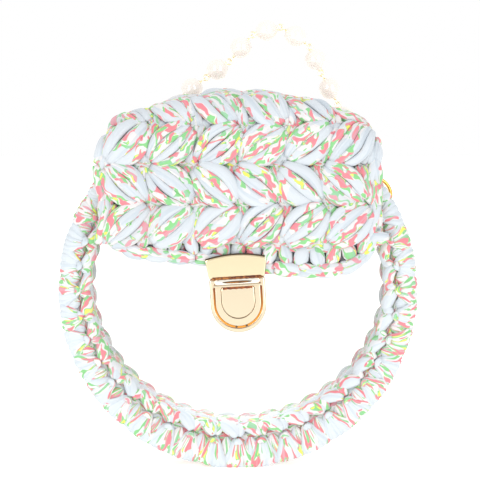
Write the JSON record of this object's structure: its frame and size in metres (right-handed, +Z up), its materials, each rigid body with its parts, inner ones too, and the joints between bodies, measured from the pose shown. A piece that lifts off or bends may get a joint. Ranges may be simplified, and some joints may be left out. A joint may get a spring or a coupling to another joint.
{
  "type": "frame bag",
  "caption": "Round crocheted frame bag with clear panels in yarn rims, a puff-stitch flap, a gold tuck lock and a pearl handle chain.",
  "frame": {"origin": "top link of the pearl handle chain, where a hand or a peg holds the bag up", "axes": "+Z up, front of the bag towards -Y, its right side in the front view towards +X"},
  "size_m": [0.186, 0.0845, 0.2363],
  "materials": {
    "printed_yarn": "printed jersey ribbon, ice blue with coral and green",
    "clear_panel": "clear polished acrylic",
    "gold_metal": "polished light gold plate",
    "pearl": "cream pearl coating"
  },
  "bodies": {
    "bag": {"front_rim": "printed_yarn", "back_rim": "printed_yarn", "gusset": "printed_yarn", "flap": "printed_yarn", "flap_edging": "printed_yarn", "front_panel": "clear_panel", "back_panel": "clear_panel", "lock_flap_plate": "gold_metal", "lock_case": "gold_metal", "lock_back_plate": "gold_metal", "ring_left": "gold_metal", "ring_right": "gold_metal", "clasp_left": "gold_metal", "clasp_right": "gold_metal", "pearl_left_1": "pearl", "pearl_left_2": "pearl", "pearl_left_3": "pearl", "pearl_left_4": "pearl", "pearl_left_5": "pearl", "pearl_right_1": "pearl", "pearl_right_2": "pearl", "pearl_right_3": "pearl", "pearl_right_4": "pearl"},
    "lock_button": {"lock_button": "gold_metal"}
  },
  "joints": [
    {"name": "lock_press", "type": "slide", "parent": "bag", "child": "lock_button", "axis": [0, 1, 0], "range_m": [0, 0.0015], "stiffness_N_per_m": 600, "springref_m": -0.001}
  ]
}
